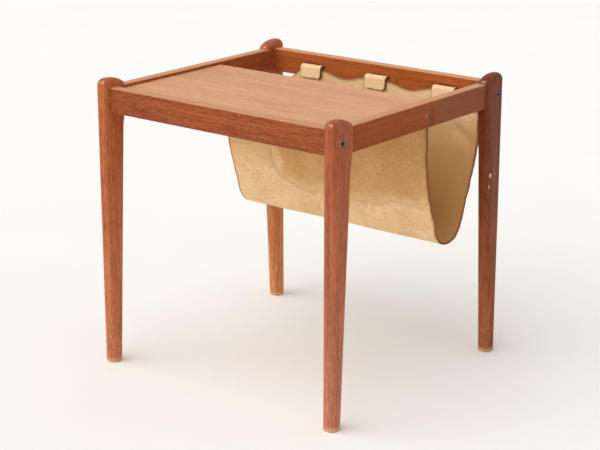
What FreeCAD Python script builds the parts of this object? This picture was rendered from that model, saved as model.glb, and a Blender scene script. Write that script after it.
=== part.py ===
import FreeCAD, Part
import math
import os

from FreeCAD import Vector

# Side table with a half top and a hung hide sling for magazines, in millimetres.
# X runs along the aprons, Y from front to back and Z up. The floor is at zero height, under the middle.

# Overall sizes, over the legs
table_width = 462.0
table_depth = 432.0
table_height = 460.0

# Legs: planks with rounded edges; the head has a low arch that falls away inwards, and is wider than the shaft,
# which tapers on its inner edge to a round foot
leg_thickness = 22.5
leg_edge_round = 9.0
head_width = 47.0
head_round = 11.0
arch_radius = 50.0
arch_reach = 29.0
arch_fall = 8.8
flare_radius = 60.0
leg_width = 42.4
leg_straight = 75.0
foot_width = 22.5
foot_chamfer = 1.5

# Side rails and aprons share one section
rail_height = 39.0
rail_thickness = 17.0
rail_step = 13.0
rail_top_round = 2.0
rail_bottom_round = 1.5
apron_setback = 9.5

# Joint of a side rail and a leg: the rail end is let into the leg and carries a stub tenon
housing_depth = 10.0
tenon_thickness = 8.0
tenon_shoulder = 7.0
tenon_wall = 4.5
glue_gap = 0.05

# Bolts, barrel nuts and dowels at the ends of the aprons
bolt_diameter = 6.0
bolt_reach = 35.0
bolt_head_diameter = 10.0
bolt_head_height = 6.0
bolt_head_sink = 0.4
socket_across_flats = 5.0
socket_depth = 3.5
nut_diameter = 10.0
nut_length = 14.0
nut_inset = 27.0
dowel_diameter = 8.0
dowel_in_leg = 12.0
dowel_in_rail = 20.0
dowel_spread = 11.0
fit_play = 0.1

# Half top: veneered panel with a solid lipping along its rear edge, which leaves the rack open behind it
panel_drop = 5.0
panel_thickness = 12.0
panel_play = 0.2
rack_opening = 141.0
veneer_thickness = 0.8
lipping_width = 6.0
lipping_round = 1.5

# Cleats under the panel, glued to the rails, and the round-head screws up through them
cleat_size = 12.0
cleat_end_gap = 12.0
screw_diameter = 3.6
screw_length = 19.0
screw_head_diameter = 7.0
screw_head_height = 2.6
screw_place_share = 0.62

# Cross rail under the rear edge of the panel, which carries the front edge of the sling
panel_overhang = 3.5
cross_dowel_diameter = 6.0
cross_dowel_in_side = 10.0
cross_dowel_spread = 5.5

# Sling: one hide, hung in a U between the cross rail and the back apron
hide_thickness = 3.0
sling_end_gap = 9.5
sling_shift = 6.0
sling_seat_gap = 0.3
sling_hang = 207.4
nose_radius = 36.5
nose_place_share = 0.45
front_fall = 88.0
front_bend = 110.0
back_fall = 63.5
back_bend = 90.0
scallop_sag = 8.0
front_corner_droop = 4.0
back_corner_droop = 22.0
sling_belly = 1.0
stations_per_bay = 4

# Tabs: doubled straps that lie on the sling's inside, pass a slot and loop round a peg
tab_count = 3
tab_width = 42.0
tab_margin = 45.5
strap_thickness = 2.2
strap_gap = 0.2
tab_cover = 20.0
tab_corner_round = 5.0
tab_entry_bend = 3.0
loop_spread = 4.0
loop_straight = 1.8
loop_start = 1.0
edge_below_slot = 5.0
slot_play = 0.6
slot_extra_length = 8.0
peg_diameter = 6.0
peg_overhang = 6.0
recess_depth = 8.0
recess_play = 1.0

# Working values for cuts and outlines
overrun = 1.0
touching = 1e-6

# Places that follow from the sizes
inner_x = table_width / 2 - leg_thickness
edge_y = table_depth / 2
leg_inner_y = edge_y - head_width
taper_start = table_height - leg_straight
rail_top = table_height - rail_step
rail_bottom = rail_top - rail_height
rail_middle = rail_top - rail_height / 2
side_rail_x = inner_x + rail_thickness / 2
apron_outer_y = edge_y - apron_setback
apron_inner_y = apron_outer_y - rail_thickness
apron_y = apron_outer_y - rail_thickness / 2
housing_y = leg_inner_y + housing_depth
tenon_y = apron_y - dowel_diameter / 2 - tenon_wall
panel_top = rail_top - panel_drop
panel_bottom = panel_top - panel_thickness
panel_front_y = -apron_inner_y + panel_play
panel_back_y = apron_inner_y - rack_opening
cross_back_y = panel_back_y - panel_overhang
cross_height = panel_bottom - rail_bottom
cross_slot_z = rail_bottom + cross_height / 2
back_slot_z = rail_middle
sling_seat = sling_seat_gap + hide_thickness / 2
sling_front_y = cross_back_y + sling_seat
sling_back_y = apron_inner_y - sling_seat
sling_half = inner_x - sling_end_gap
tab_reach = sling_half - tab_margin - tab_width / 2
tab_places = [tab_reach * (2 * i / (tab_count - 1) - 1) for i in range(tab_count)]


def rounded_outline(corners, radii):
    """Closed wire through the corners, each rounded to its radius."""
    entries = []
    exits = []
    edges = []
    for i, corner in enumerate(corners):
        back = corners[i - 1] - corner
        ahead = corners[(i + 1) % len(corners)] - corner
        back.normalize()
        ahead.normalize()
        half_angle = back.getAngle(ahead) / 2
        reach = radii[i] / math.tan(half_angle)
        entries.append(corner + back * reach)
        exits.append(corner + ahead * reach)
        if radii[i] > 0:
            bisector = back + ahead
            bisector.normalize()
            crown = corner + bisector * radii[i] * (1 / math.sin(half_angle) - 1)
            edges.append((i, Part.Arc(entries[i], crown, exits[i]).toShape()))
    for i, start in enumerate(exits):
        end = entries[(i + 1) % len(corners)]
        if start.distanceToPoint(end) > touching:
            edges.append((i + 0.5, Part.LineSegment(start, end).toShape()))
    return Part.Wire([edge for _, edge in sorted(edges, key=lambda item: item[0])])


def ribbon(centres, bends, thickness, x):
    """Outline of a strip that follows centre points (y, z) in the plane at x, with bent corners."""
    points = [Vector(x, y, z) for y, z in centres]
    normals = []
    for a, b in zip(points, points[1:]):
        run = (b - a).normalize()
        normals.append(Vector(0, -run.z, run.y))
    normals = [normals[0]] + normals + [normals[-1]]
    sides = ([], [])
    for point, bend, before, after in zip(points, bends, normals, normals[1:]):
        turn = before.y * after.z - before.z * after.y
        mitre = (before + after) * (thickness / 2 / (1 + before.dot(after)))
        inside = math.copysign(thickness / 2, turn)
        sides[0].append((point + mitre, bend - inside if bend else 0))
        sides[1].append((point - mitre, bend + inside if bend else 0))
    loop = sides[0] + sides[1][::-1]
    return rounded_outline([corner for corner, _ in loop], [radius for _, radius in loop])


def box(low, high):
    """Box between two corners given as (x, y, z)."""
    size = [b - a for a, b in zip(low, high)]
    return Part.makeBox(*size, Vector(*low))


def bar(length, thickness, height, top_round, bottom_round):
    """Rail along X with rounded long edges, centred in X and Y, its underside at zero height."""
    x = -length / 2
    y = thickness / 2
    corners = [Vector(x, -y, 0), Vector(x, y, 0), Vector(x, y, height), Vector(x, -y, height)]
    outline = rounded_outline(corners, [bottom_round, bottom_round, top_round, top_round])
    return Part.Face(outline).extrude(Vector(length, 0, 0))


def quarters(solid):
    """The four mirrored copies of a solid of the back right corner, by corner name."""
    origin = Vector(0, 0, 0)
    left = solid.mirror(origin, Vector(1, 0, 0))
    front = Vector(0, 1, 0)
    return {
        "back_right": solid,
        "back_left": left,
        "front_right": solid.mirror(origin, front),
        "front_left": left.mirror(origin, front),
    }


def pin(diameter, start, run):
    """Cylinder from a start point along a run vector."""
    return Part.makeCylinder(diameter / 2, run.Length, start, run)


def leg_blank():
    """Leg of the back right corner, before its joints are cut."""
    profile = [
        (edge_y, 0, 0),
        (edge_y, table_height, head_round),
        (edge_y - arch_reach, table_height, arch_radius),
        (leg_inner_y, table_height - arch_fall, head_round),
        (leg_inner_y, rail_bottom, flare_radius),
        (edge_y - leg_width, taper_start, flare_radius),
        (edge_y - foot_width, 0, 0),
    ]
    corners = [Vector(inner_x, y, z) for y, z, _ in profile]
    outline = rounded_outline(corners, [radius for _, _, radius in profile])
    plank = Part.Face(outline).extrude(Vector(leg_thickness, 0, 0))
    rim = []
    for edge in plank.Edges:
        bounds = edge.BoundBox
        if bounds.XLength < touching and bounds.ZMax > touching:
            rim.append(edge)
    rounded = plank.makeFillet(leg_edge_round, rim)
    sole = [edge for edge in rounded.Edges if edge.BoundBox.ZMax < touching]
    return rounded.makeChamfer(foot_chamfer, sole)


def side_rail(grow=0.0):
    """Right side rail with a stub tenon at each end, grown all round for the cut of its seats."""
    length = 2 * (housing_y + grow)
    thickness = rail_thickness + 2 * grow
    height = rail_height + 2 * grow
    body = bar(length, thickness, height, rail_top_round + grow, rail_bottom_round + grow)
    body.rotate(Vector(0, 0, 0), Vector(0, 0, 1), 90)
    body.translate(Vector(side_rail_x, 0, rail_bottom - grow))
    half = tenon_thickness / 2 + grow
    tenon = box(
        (side_rail_x - half, -tenon_y - grow, rail_bottom + tenon_shoulder - grow),
        (side_rail_x + half, tenon_y + grow, rail_top - tenon_shoulder + grow),
    )
    return body.fuse(tenon).removeSplitter()


def bolt():
    """Socket-head bolt through the back right leg into the end of the back apron."""
    face_x = table_width / 2 - bolt_head_sink
    seat_x = face_x - bolt_head_height
    tip_x = inner_x - bolt_reach
    along = Vector(1, 0, 0)
    head = pin(bolt_head_diameter, Vector(seat_x, apron_y, rail_middle), along * bolt_head_height)
    shank = pin(bolt_diameter, Vector(tip_x, apron_y, rail_middle), along * (seat_x - tip_x))
    corner = socket_across_flats / math.sqrt(3)
    sides = 6
    ring = []
    for i in range(sides):
        turn = 2 * math.pi * i / sides
        ring.append(Vector(face_x, apron_y + corner * math.sin(turn), rail_middle + corner * math.cos(turn)))
    socket = Part.Face(Part.makePolygon(ring + ring[:1])).extrude(along * -socket_depth)
    return head.fuse(shank).removeSplitter().cut(socket)


def bolt_hole():
    """Clearance hole and head counterbore for the bolt."""
    hole_diameter = bolt_diameter + 2 * fit_play
    seat_x = table_width / 2 - bolt_head_sink - bolt_head_height
    end_x = inner_x - bolt_reach - fit_play
    along = Vector(1, 0, 0)
    hole = pin(hole_diameter, Vector(end_x, apron_y, rail_middle), along * (seat_x + overrun - end_x))
    sink_start = Vector(seat_x, apron_y, rail_middle)
    sink_run = along * (bolt_head_height + bolt_head_sink + overrun)
    sink = pin(bolt_head_diameter + 2 * fit_play, sink_start, sink_run)
    return hole.fuse(sink)


def barrel_nut():
    """Cross dowel nut in the apron, with the bolt's bore through it."""
    nut_x = inner_x - nut_inset
    low = Vector(nut_x, apron_y, rail_middle - nut_length / 2)
    body = pin(nut_diameter, low, Vector(0, 0, nut_length))
    bore_start = Vector(nut_x - nut_diameter, apron_y, rail_middle)
    return body.cut(pin(bolt_diameter + fit_play, bore_start, Vector(2 * nut_diameter, 0, 0)))


def nut_hole():
    """Blind hole for the barrel nut, drilled up from the apron's underside."""
    low = Vector(inner_x - nut_inset, apron_y, rail_bottom - overrun)
    depth = rail_middle + nut_length / 2 + fit_play - low.z
    return pin(nut_diameter + 2 * fit_play, low, Vector(0, 0, depth))


def dowel(diameter, y, z, in_side, in_end, play=0.0):
    """Dowel across an inner face at the right, or with play the hole for it."""
    start = Vector(inner_x - in_end - play, y, z)
    return pin(diameter + play, start, Vector(in_side + in_end + 2 * play, 0, 0))


def apron_dowels(play=0.0):
    """The two dowels of the back apron's right end."""
    heights = [rail_middle - dowel_spread, rail_middle + dowel_spread]
    return [dowel(dowel_diameter, apron_y, z, dowel_in_leg, dowel_in_rail, play) for z in heights]


def cross_dowels(play=0.0):
    """The two dowels of the cross rail's right end."""
    y = cross_back_y - rail_thickness / 2
    heights = [cross_slot_z - cross_dowel_spread, cross_slot_z + cross_dowel_spread]
    return [dowel(cross_dowel_diameter, y, z, cross_dowel_in_side, dowel_in_rail, play) for z in heights]


def both_ends(solids):
    """Solids of the right end with their mirrored copies at the left end."""
    return solids + [solid.mirror(Vector(0, 0, 0), Vector(1, 0, 0)) for solid in solids]


def tab_slot(x, face_y, facing, slot_z):
    """Cut for one tab: a slot through the rail and a recess for the loop and peg on the far side."""
    height = 2 * strap_thickness + strap_gap + slot_play
    length = tab_width + slot_extra_length
    low = Vector(x - length / 2, face_y + facing * overrun, slot_z - height / 2)
    corners = [low, low + Vector(length, 0, 0), low + Vector(length, 0, height), low + Vector(0, 0, height)]
    outline = rounded_outline(corners, [height / 2] * len(corners))
    slot = Part.Face(outline).extrude(Vector(0, -facing * (rail_thickness + 2 * overrun), 0))
    floor_y = face_y - facing * (rail_thickness - recess_depth)
    open_y = face_y - facing * (rail_thickness + overrun)
    half_length = tab_width / 2 + peg_overhang + recess_play
    half_height = peg_diameter / 2 + strap_thickness + recess_play
    recess = box(
        (x - half_length, min(floor_y, open_y), slot_z - half_height),
        (x + half_length, max(floor_y, open_y), slot_z + half_height),
    )
    return slot.fuse(recess)


def tab_path(face_y, facing, slot_z):
    """Centre points and bends of a tab, from the tip of its under flap round the peg to its top flap."""
    half = strap_thickness / 2
    pitch = strap_thickness + strap_gap
    layer = pitch / 2
    loop = peg_diameter / 2 + half
    tail_y = face_y + facing * (sling_seat_gap + hide_thickness + half)
    flap_y = tail_y + facing * pitch
    exit_y = face_y - facing * (rail_thickness - recess_depth + loop_start)
    spread_y = exit_y - facing * loop_spread
    end_y = spread_y - facing * (loop_straight + loop)
    end_z = slot_z - tab_cover
    points = [
        (tail_y, end_z),
        (tail_y, slot_z - layer),
        (exit_y, slot_z - layer),
        (spread_y, slot_z - loop),
        (end_y, slot_z - loop),
        (end_y, slot_z + loop),
        (spread_y, slot_z + loop),
        (exit_y, slot_z + layer),
        (flap_y, slot_z + layer),
        (flap_y, end_z),
    ]
    top_bend = tab_entry_bend + pitch
    bends = [0, tab_entry_bend, 0, 0, loop, loop, 0, 0, top_bend, 0]
    return points, bends


def tab(x, face_y, facing, slot_z):
    """One tab, with the lower corners of its two flaps rounded."""
    points, bends = tab_path(face_y, facing, slot_z)
    outline = ribbon(points, bends, strap_thickness, x - tab_width / 2)
    strap = Part.Face(outline).extrude(Vector(tab_width, 0, 0))
    low_z = slot_z - tab_cover
    reach_y = table_depth
    low = Vector(x - tab_width / 2, -reach_y, low_z)
    wide = Vector(tab_width, 0, 0)
    tall = Vector(0, 0, tab_cover * 2)
    rounds = [tab_corner_round, tab_corner_round, 0, 0]
    front = rounded_outline([low, low + wide, low + wide + tall, low + tall], rounds)
    return strap.common(Part.Face(front).extrude(Vector(0, 2 * reach_y, 0)))


def peg(x, face_y, facing, slot_z):
    """Peg through the loop of one tab, behind the slot."""
    inset = rail_thickness - recess_depth + loop_start + loop_spread + loop_straight
    half_length = tab_width / 2 + peg_overhang
    start = Vector(x - half_length, face_y - facing * inset, slot_z)
    return pin(peg_diameter - fit_play, start, Vector(2 * half_length, 0, 0))


def bay_sag(x, droop):
    """How far a top edge of the sling lies below its clasped height, at x from its middle."""
    outer = tab_reach + tab_width / 2
    if abs(x) > outer:
        left = (sling_half - abs(x)) / (sling_half - outer)
        return droop * (1 - left ** 2)
    nearest = min(tab_places, key=lambda place: abs(x - place))
    gap = tab_places[1] - tab_places[0] - tab_width
    along = max(abs(x - nearest) - tab_width / 2, 0) / gap
    return scallop_sag * math.sin(math.pi * along) ** 2


def tangent_slope(y, z, centre_y, centre_z, radius, side):
    """Direction from a point to the tangent of the nose circle, which it passes on the given side."""
    away = math.hypot(centre_y - y, centre_z - z)
    angle = math.atan2(centre_z - z, centre_y - y) + side * math.asin(radius / away)
    return math.cos(angle), math.sin(angle)


def sling_section(x):
    """Section of the sling at x from its middle: two hung sheets that meet in a round nose."""
    belly = sling_belly * (1 - (x / sling_half) ** 2)
    nose_y = sling_front_y + (sling_back_y - sling_front_y) * nose_place_share
    nose_z = rail_bottom - sling_hang + sling_belly - belly + nose_radius + hide_thickness / 2
    front_z = rail_bottom - front_fall
    back_z = rail_bottom - back_fall
    front = tangent_slope(sling_front_y, front_z, nose_y, nose_z, nose_radius, -1)
    back = tangent_slope(sling_back_y, back_z, nose_y, nose_z, nose_radius, 1)
    cross = front[0] * back[1] - front[1] * back[0]
    gap_y = sling_back_y - sling_front_y
    gap_z = back_z - front_z
    run = (gap_y * back[1] - gap_z * back[0]) / cross
    points = [
        (sling_front_y, cross_slot_z - edge_below_slot - bay_sag(x, front_corner_droop)),
        (sling_front_y, front_z),
        (sling_front_y + front[0] * run, front_z + front[1] * run),
        (sling_back_y, back_z),
        (sling_back_y, back_slot_z - edge_below_slot - bay_sag(x, back_corner_droop)),
    ]
    bends = [0, front_bend, nose_radius, back_bend, 0]
    return ribbon(points, bends, hide_thickness, x + sling_shift)


def sling():
    """The hide, lofted through sections at its ends, across each tab and across each bay between tabs."""
    stations = [-sling_half, sling_half]
    outer = tab_reach + tab_width / 2
    bays = [(-sling_half, -outer), (outer, sling_half)]
    for left, right in zip(tab_places, tab_places[1:]):
        bays.append((left + tab_width / 2, right - tab_width / 2))
    for left, right in bays:
        stations += [left + (right - left) * i / stations_per_bay for i in range(stations_per_bay + 1)]
    spaced = []
    for x in sorted(stations):
        if not spaced or x - spaced[-1] > touching:
            spaced.append(x)
    return Part.makeLoft([sling_section(x) for x in spaced], True, True)


def screw(point):
    """Round-head screw up from a point on a cleat's underside, where its head is seated."""
    head = pin(screw_head_diameter, point, Vector(0, 0, -screw_head_height))
    return head.fuse(pin(screw_diameter, point, Vector(0, 0, screw_length))).removeSplitter()


def screw_hole(point):
    """Hole for a screw, from below the cleat's underside up to the screw's tip."""
    below = point - Vector(0, 0, overrun)
    return pin(screw_diameter + fit_play, below, Vector(0, 0, overrun + screw_length + fit_play))


def cleats():
    """Square cleats under the panel, by the side of the table that they lie on."""
    low = panel_bottom - cleat_size
    front_length = 2 * (inner_x - cleat_size - cleat_end_gap)
    side_front_y = -leg_inner_y + cleat_end_gap
    side_back_y = cross_back_y - rail_thickness - cleat_end_gap
    front_y = -apron_inner_y
    front_x = front_length / 2
    side_x = inner_x - cleat_size
    return {
        "front": box((-front_x, front_y, low), (front_x, front_y + cleat_size, panel_bottom)),
        "left": box((-inner_x, side_front_y, low), (-side_x, side_back_y, panel_bottom)),
        "right": box((side_x, side_front_y, low), (inner_x, side_back_y, panel_bottom)),
    }


def screw_points(cleat):
    """Points on a cleat's underside for its two screws, shared out along its length."""
    bounds = cleat.BoundBox
    along_x = bounds.XLength > bounds.YLength
    reach = max(bounds.XLength, bounds.YLength) / 2 * screw_place_share
    step = Vector(reach, 0, 0) if along_x else Vector(0, reach, 0)
    middle = Vector(bounds.Center.x, bounds.Center.y, bounds.ZMin)
    return [middle - step, middle + step]


def panel_layers():
    """Core, rear lipping and the two veneers of the half top."""
    half = inner_x - panel_play
    low = panel_bottom + veneer_thickness
    high = panel_top - veneer_thickness
    join_y = panel_back_y - lipping_width
    core = box((-half, panel_front_y, low), (half, join_y, high))
    lipping = box((-half, join_y, low), (half, panel_back_y, high))
    upper = box((-half, panel_front_y, high), (half, panel_back_y, panel_top))
    lower = box((-half, panel_front_y, panel_bottom), (half, panel_back_y - lipping_round, low))
    return core, lipping, upper, lower


def cut_all(solid, tools):
    """Solid less every tool."""
    for tool in tools:
        solid = solid.cut(tool)
    return solid


def write(name, shape):
    """Write one node's solids, named, as a STEP file."""
    shape.exportStep(os.path.join("parts", name + ".step"))


def tab_rows():
    """Name, rack-side face, facing and slot height of each rail that carries tabs."""
    return [("front", cross_back_y, 1, cross_slot_z), ("back", apron_inner_y, -1, back_slot_z)]


def build():
    """All nodes of the table by name."""
    nodes = {}
    origin = Vector(0, 0, 0)
    x_axis = Vector(1, 0, 0)
    y_axis = Vector(0, 1, 0)

    corner_cuts = [side_rail(glue_gap), bolt_hole()] + apron_dowels(fit_play)
    for corner, leg in quarters(cut_all(leg_blank(), corner_cuts)).items():
        nodes["leg_" + corner] = leg

    cleat_solids = cleats()
    screw_places = [point for cleat in cleat_solids.values() for point in screw_points(cleat)]
    screw_holes = [screw_hole(point) for point in screw_places]
    for name, cleat in cleat_solids.items():
        nodes["panel_cleat_" + name] = cut_all(cleat, screw_holes)
    nodes["panel_screws"] = Part.makeCompound([screw(point) for point in screw_places])

    right_rail = cut_all(side_rail(), cross_dowels(fit_play))
    nodes["side_rail_right"] = right_rail
    nodes["side_rail_left"] = right_rail.mirror(origin, x_axis)

    apron = bar(2 * inner_x, rail_thickness, rail_height, rail_top_round, rail_bottom_round)
    apron.translate(Vector(0, apron_y, rail_bottom))
    apron = cut_all(apron, both_ends([bolt_hole(), nut_hole()] + apron_dowels(fit_play)))
    nodes["front_apron"] = apron.mirror(origin, y_axis)
    cross_rail = bar(2 * inner_x, rail_thickness, cross_height, 0, rail_bottom_round)
    cross_rail.translate(Vector(0, cross_back_y - rail_thickness / 2, rail_bottom))
    cross_rail = cut_all(cross_rail, both_ends(cross_dowels(fit_play)))

    carriers = {"front": cross_rail, "back": apron}
    sides = ["left", "middle", "right"]
    for row, face_y, facing, slot_z in tab_rows():
        for side, place in zip(sides, tab_places):
            x = place + sling_shift
            carriers[row] = carriers[row].cut(tab_slot(x, face_y, facing, slot_z))
            nodes["sling_tab_" + row + "_" + side] = tab(x, face_y, facing, slot_z)
            nodes["sling_peg_" + row + "_" + side] = peg(x, face_y, facing, slot_z)
    nodes["cross_rail"] = carriers["front"]
    nodes["back_apron"] = carriers["back"]
    nodes["sling"] = sling()

    nodes["frame_bolts"] = Part.makeCompound(list(quarters(bolt()).values()))
    nodes["barrel_nuts"] = Part.makeCompound(list(quarters(barrel_nut()).values()))
    corner_dowels = [d for solid in apron_dowels() for d in quarters(solid).values()]
    nodes["apron_dowels"] = Part.makeCompound(corner_dowels)
    nodes["cross_rail_dowels"] = Part.makeCompound(both_ends(cross_dowels()))

    core, lipping, upper, lower = panel_layers()
    nodes["panel_core"] = cut_all(core, screw_holes)
    nodes["panel_rear_lipping"] = lipping
    nodes["panel_top_veneer"] = upper
    nodes["panel_lower_veneer"] = cut_all(lower, screw_holes)
    return nodes


os.makedirs("parts", exist_ok=True)
for node_name, node_shape in build().items():
    write(node_name, node_shape)
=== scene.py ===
import math

import bmesh
import bpy
import numpy as np
from bpy.props import FloatProperty, FloatVectorProperty, IntProperty, PointerProperty
from bpy.types import Operator, Panel, PropertyGroup
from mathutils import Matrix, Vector, noise


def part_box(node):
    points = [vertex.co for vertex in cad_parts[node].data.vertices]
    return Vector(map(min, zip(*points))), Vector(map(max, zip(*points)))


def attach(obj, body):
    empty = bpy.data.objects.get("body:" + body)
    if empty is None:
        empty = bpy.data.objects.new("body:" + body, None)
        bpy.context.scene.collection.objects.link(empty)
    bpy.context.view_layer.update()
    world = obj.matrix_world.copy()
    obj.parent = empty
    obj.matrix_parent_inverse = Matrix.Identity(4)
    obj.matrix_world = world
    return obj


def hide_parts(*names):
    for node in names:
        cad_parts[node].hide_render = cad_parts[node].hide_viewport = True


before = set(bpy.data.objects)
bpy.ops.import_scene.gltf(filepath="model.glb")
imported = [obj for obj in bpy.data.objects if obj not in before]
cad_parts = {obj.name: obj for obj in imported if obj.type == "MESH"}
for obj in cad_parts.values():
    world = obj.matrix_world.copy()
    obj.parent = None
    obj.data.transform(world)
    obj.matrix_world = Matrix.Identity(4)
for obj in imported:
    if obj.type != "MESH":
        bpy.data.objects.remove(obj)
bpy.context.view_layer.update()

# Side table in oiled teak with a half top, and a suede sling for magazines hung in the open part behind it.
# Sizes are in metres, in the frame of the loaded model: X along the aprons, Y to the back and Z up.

bl_info = {
    "name": "Magazine Side Table",
    "version": (1, 0, 0),
    "blender": (4, 5, 0),
    "location": "3D View > Sidebar > Side Table",
    "description": "Dresses a teak side table and its hung suede magazine sling",
    "category": "Object",
}

SIDES = ("left", "middle", "right")
ROWS = ("front", "back")
BARE = (0.72, 0.44, 0.26)  # wood without its oil, in a setting and in marks of use


# Settings that a user would change

def length(name, default, description):
    """A size in metres."""
    return FloatProperty(name=name, description=description, default=default, unit="LENGTH", precision=5)


def factor(name, default, description):
    """A number without a unit."""
    return FloatProperty(name=name, description=description, default=default, min=0.0)


def degrees(name, default, description):
    """An angle, given in degrees."""
    return FloatProperty(
        name=name, description=description, default=math.radians(default), subtype="ANGLE")


def colour(name, default, description):
    """A linear colour."""
    return FloatVectorProperty(
        name=name, description=description, default=default, size=3, min=0.0, max=1.0, subtype="COLOR")


class TeakSettings(PropertyGroup):
    """Colours and grain of the oiled teak."""

    light: colour("Light teak", (0.52, 0.148, 0.052), "Pale fibres of the rails and legs")
    dark: colour("Dark teak", (0.30, 0.070, 0.024), "Dark fibres of the rails and legs")
    pore: colour("Pores", (0.11, 0.026, 0.013), "Open pores and the darkest fibres")
    veneer_light: colour("Light veneer", (0.735, 0.378, 0.188), "Pale fibres of the half top")
    veneer_dark: colour("Dark veneer", (0.58, 0.259, 0.126), "Dark fibres of the half top")
    # Colour of the rubbed top edges of the rails, lightened also as painted sheen
    worn_and_sheen: colour("Worn wood", (0.66, 0.325, 0.155), "Rubbed upper edges of the rails")
    bare: colour("Bare wood", BARE, "Wood laid bare in chips and on worn feet")
    roughness: factor("Roughness", 0.37, "Roughness of the satin oil finish")
    gloss: factor("Gloss", 0.06, "Strength of the reflections in the wood itself")
    oil: factor("Oil", 0.16, "Share of the surface that has a shiny skin of oil")
    band: length("Growth band", 0.0045, "Mean width of the growth bands")


class SlingSettings(PropertyGroup):
    """Shape and colours of the hung suede."""

    thickness: length("Thickness", 0.003, "Thickness of the hide")
    front_bend: length("Front bend", 0.110, "Radius where the front sheet leaves the upright")
    back_bend: length("Back bend", 0.090, "Radius where the back sheet leaves the upright")
    nose: length("Nose", 0.0365, "Radius of the fold at the bottom")
    front_fall: length("Front fall", 0.094, "Upright drop of the front sheet below its top edge, to its bend")
    back_fall: length("Back fall", 0.078, "Upright drop of the back sheet below its top edge, to its bend")
    nose_share: factor("Nose place", 0.45, "Share of the way from the front sheet to the back one")
    scallop: length("Scallop", 0.008, "Dip of the top edges between two tabs")
    front_droop: length("Front droop", 0.004, "Drop of the front sheet's top corners outside the tabs")
    back_droop: length("Back droop", 0.026, "Drop of the back sheet's top corners outside the tabs")
    belly: length("Belly", 0.001, "Extra sag in the middle of the fold")
    spacing: length("Spacing", 0.0036, "Spacing of the mesh lines")
    outside: colour("Outside", (0.76, 0.475, 0.218), "Brushed suede")
    pale: colour("Pale", (0.94, 0.690, 0.400), "Rubbed light patches")
    # The golden colour also serves as painted shade on the sling's upper front, deeper down its back and along the
    # creases
    stain: colour("Stain", (0.58, 0.300, 0.090), "Golden brown patches")
    fleck: colour("Flecks", (0.33, 0.150, 0.045), "Brown flecks and burnished borders")
    # Inner side of the sling: mostly painted shade that deepens below the top edges, over a slightly darker flesh side
    inside: colour("Inside", (0.52, 0.278, 0.102), "Darker side that lies against the magazines")
    cut: colour("Cut edge", (0.20, 0.085, 0.028), "Dark cut edges")


class TabSettings(PropertyGroup):
    """Shape and colours of the straps that carry the sling."""

    thickness: length("Thickness", 0.0022, "Thickness of a strap")
    width: length("Width", 0.042, "Width of a strap")
    gap: length("Gap", 0.0002, "Gap between the two layers of a strap")
    cover: length("Cover", 0.020, "Length of the flaps below the slot")
    corner: length("Corner", 0.0075, "Radius of the flaps' lower corners")
    entry: length("Entry bend", 0.003, "Bend of the under flap into the slot")
    seat: length("Seat", 0.0003, "Gap between the rail and the sling")
    slot_depth: length("Slot depth", 0.010, "Depth of the slot to where the loop starts to open")
    spread: length("Spread", 0.004, "Length over which the loop opens")
    straight: length("Straight", 0.0018, "Straight stretch of the loop before the peg")
    peg: length("Peg", 0.006, "Diameter of the peg in the loop")
    face: colour("Face", (0.82, 0.56, 0.30), "Brushed suede of the straps")


class FastenerSettings(PropertyGroup):
    """Sizes and colours of bolts, screws and pegs."""

    bolt_head: length("Bolt head", 0.010, "Diameter of a bolt's head")
    bolt_height: length("Bolt head height", 0.006, "Height of a bolt's head")
    bolt_shank: length("Bolt shank", 0.006, "Diameter of a bolt's shank")
    bolt_flats: length("Socket", 0.005, "Width across the flats of a bolt's socket")
    bolt_socket: length("Socket depth", 0.0035, "Depth of a bolt's socket")
    screw_head: length("Screw head", 0.007, "Diameter of a screw's head")
    screw_height: length("Screw head height", 0.0026, "Height of a screw's head")
    screw_shank: length("Screw shank", 0.0036, "Diameter of a screw's shank")
    screw_slot: length("Screw slot", 0.0011, "Width of a screw's slot")
    chamfer: length("Chamfer", 0.0006, "Chamfer of heads and pegs")
    sides: IntProperty(name="Sides", description="Sides of the round shapes", default=40, min=8)
    steel: colour("Steel", (0.16, 0.15, 0.14), "Dull zinc of the bolts")
    # The socket colour is painted shade in the recesses of bolts and screws, and also tints their tarnish
    socket: colour("Socket", (0.012, 0.011, 0.010), "Dirt in the sockets and slots")


class StageSettings(PropertyGroup):
    """Camera, light and floor."""

    camera: FloatVectorProperty(
        name="Camera", description="Place of the camera", default=(1.610389, -2.013384, 1.011797), unit="LENGTH")
    pitch: degrees("Pitch", 17.0875, "Angle of the camera below the horizon")
    turn: degrees("Turn", 38.7042, "Turn of the camera to the left of +Y")
    lens: factor("Lens", 102.586, "Focal length in millimetres on a 36 mm wide sensor")
    floor_radius: length("Floor", 14.0, "Radius of the floor")
    floor: colour("Floor colour", (0.905, 0.890, 0.858), "Pale floor and the backdrop behind it")
    sky: factor("Sky", 0.66, "Strength of the even light from all sides")
    sun: factor("Key light", 1.80, "Strength of the soft key light")
    glint: factor("Glint", 10.0, "Strength of the small lamp that is seen only in highlights")
    sun_from: FloatVectorProperty(
        name="Key direction", description="Where the key light comes from", default=(-0.35, -0.75, 0.9))
    sun_angle: degrees("Key softness", 75.0, "Width of the key light")
    glint_angle: degrees("Glint softness", 25.0, "Width of the small lamp")


# Node trees written as expressions

class Wire:
    """An output socket; arithmetic on wires and numbers adds Math nodes to its tree."""

    def __init__(self, graph, socket):
        self.graph = graph
        self.socket = socket

    def _math(self, operation, first, second):
        return self.graph.node("ShaderNodeMath", {0: first, 1: second}, operation=operation)

    def __add__(self, other):
        return self._math("ADD", self, other)

    __radd__ = __add__

    def __mul__(self, other):
        return self._math("MULTIPLY", self, other)

    __rmul__ = __mul__

    def __sub__(self, other):
        return self._math("SUBTRACT", self, other)

    def __rsub__(self, other):
        return self._math("SUBTRACT", other, self)

    def __neg__(self):
        return self * -1.0

    def __pow__(self, other):
        return self._math("POWER", self, other)

    def __lt__(self, other):
        return self._math("LESS_THAN", self, other)


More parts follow.
